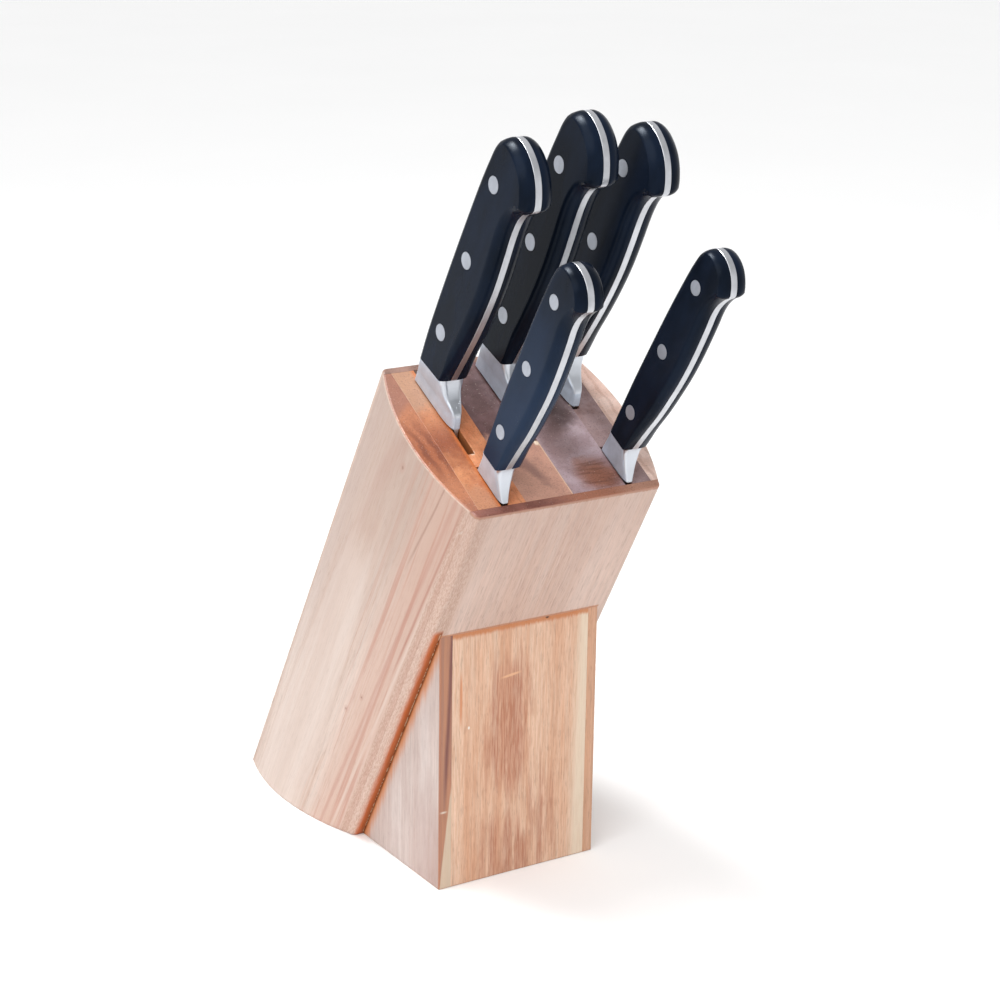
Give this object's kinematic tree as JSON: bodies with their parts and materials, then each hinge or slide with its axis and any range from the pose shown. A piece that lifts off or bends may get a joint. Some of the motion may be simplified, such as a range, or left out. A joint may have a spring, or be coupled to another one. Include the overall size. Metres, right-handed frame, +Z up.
{
  "type": "knife block with knives",
  "caption": "Slant-bodied laminated wooden knife block on a wedge foot, with riveted full-tang knives standing in slots in its top.",
  "frame": {"origin": "on the floor, at the middle of the footprint", "axes": "+Z up, -Y towards the upright front of the foot and the side the handles lean to, +X to the right of someone facing that front"},
  "size_m": [0.1146, 0.2836, 0.361],
  "materials": {
    "body_wood": "oiled acacia, long grain up the lean, satin",
    "core_orange_wood": "oiled acacia, orange-brown, satin",
    "core_dark_wood": "oiled acacia, dark purple-brown, satin",
    "foot_wood": "oiled acacia, upright grain, satin",
    "handle_plastic": "fine satin moulded plastic",
    "knife_steel": "brushed, polished on the finger guard",
    "rivet_steel": "flush ground, fine brushed"
  },
  "bodies": {
    "block": {"body_front_board": "body_wood", "body_rear_board": "body_wood", "body_left_board": "body_wood", "body_right_board": "body_wood", "core_strip_1": "core_orange_wood", "core_strip_2": "core_orange_wood", "core_strip_3": "core_dark_wood", "core_strip_4": "core_dark_wood", "core_strip_5": "core_dark_wood", "foot_left_strip": "foot_wood", "foot_centre_board": "foot_wood", "foot_right_strip": "foot_wood"},
    "chef_knife": {"chef_blade": "knife_steel", "chef_scale_left": "handle_plastic", "chef_scale_right": "handle_plastic", "chef_rivet_1": "rivet_steel", "chef_rivet_2": "rivet_steel", "chef_rivet_3": "rivet_steel"},
    "santoku_knife": {"santoku_blade": "knife_steel", "santoku_scale_left": "handle_plastic", "santoku_scale_right": "handle_plastic", "santoku_rivet_1": "rivet_steel", "santoku_rivet_2": "rivet_steel", "santoku_rivet_3": "rivet_steel"},
    "bread_knife": {"bread_blade": "knife_steel", "bread_scale_left": "handle_plastic", "bread_scale_right": "handle_plastic", "bread_rivet_1": "rivet_steel", "bread_rivet_2": "rivet_steel", "bread_rivet_3": "rivet_steel"},
    "utility_knife": {"utility_blade": "knife_steel", "utility_scale_left": "handle_plastic", "utility_scale_right": "handle_plastic", "utility_rivet_1": "rivet_steel", "utility_rivet_2": "rivet_steel", "utility_rivet_3": "rivet_steel"},
    "paring_knife": {"paring_blade": "knife_steel", "paring_scale_left": "handle_plastic", "paring_scale_right": "handle_plastic", "paring_rivet_1": "rivet_steel", "paring_rivet_2": "rivet_steel", "paring_rivet_3": "rivet_steel"}
  },
  "joints": [
    {"name": "chef_lift", "type": "slide", "parent": "block", "child": "chef_knife", "axis": [0, -0.5, 0.866], "range_m": [0, 0.215]},
    {"name": "santoku_lift", "type": "slide", "parent": "block", "child": "santoku_knife", "axis": [0, -0.5, 0.866], "range_m": [0, 0.195]},
    {"name": "bread_lift", "type": "slide", "parent": "block", "child": "bread_knife", "axis": [0, -0.5, 0.866], "range_m": [0, 0.215]},
    {"name": "utility_lift", "type": "slide", "parent": "block", "child": "utility_knife", "axis": [0, -0.5, 0.866], "range_m": [0, 0.145]},
    {"name": "paring_lift", "type": "slide", "parent": "block", "child": "paring_knife", "axis": [0, -0.5, 0.866], "range_m": [0, 0.105]}
  ]
}
